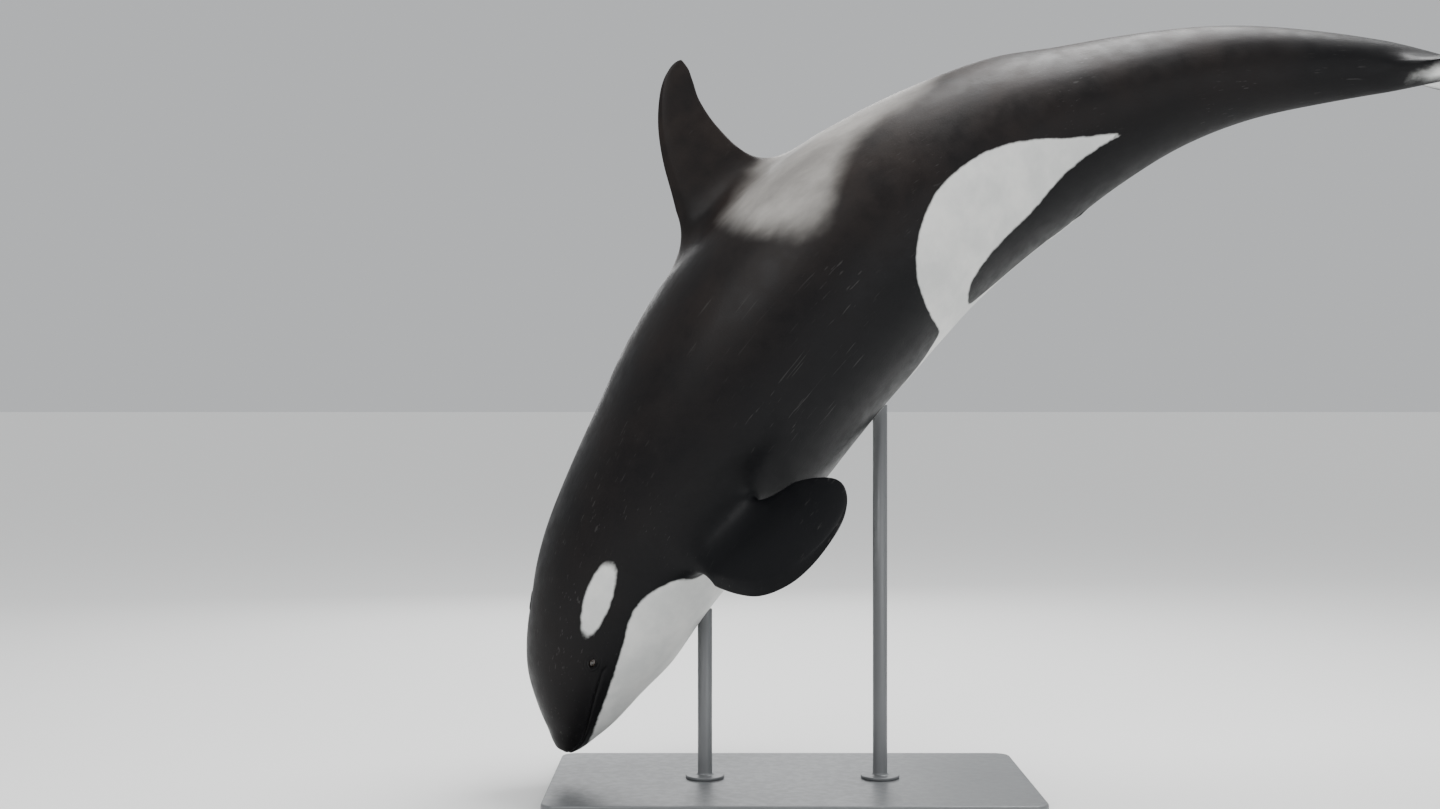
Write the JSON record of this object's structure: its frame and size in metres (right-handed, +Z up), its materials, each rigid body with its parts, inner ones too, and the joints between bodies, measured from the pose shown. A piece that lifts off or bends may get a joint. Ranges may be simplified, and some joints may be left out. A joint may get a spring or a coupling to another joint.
{
  "type": "orca model",
  "caption": "Life-size still model of a killer whale diving head first, with falcate dorsal fin, paddle flippers and flukes, held over a flat base by plain rods.",
  "frame": {"origin": "centre of the underside of the stand's base plate", "axes": "+Z up, +X from the snout towards the flukes, +Y towards the whale's right side; the whale is symmetric about the XZ plane"},
  "size_m": [4.3976, 1.716, 3.369],
  "materials": {
    "skin": "smooth black skin with a soft wet sheen; white and grey markings are carried by the surface material",
    "eye": "glossy dark brown",
    "stand": "satin grey paint"
  },
  "bodies": {
    "root": {"head": "skin", "lower_jaw": "skin", "eye_left": "eye", "eye_right": "eye", "chest": "skin", "belly": "skin", "tail_stock": "skin", "fluke_left": "skin", "fluke_right": "skin", "dorsal_fin": "skin", "flipper_left": "skin", "flipper_right": "skin", "stand_base": "stand", "stand_rod_front": "stand", "stand_rod_rear": "stand"}
  },
  "joints": []
}
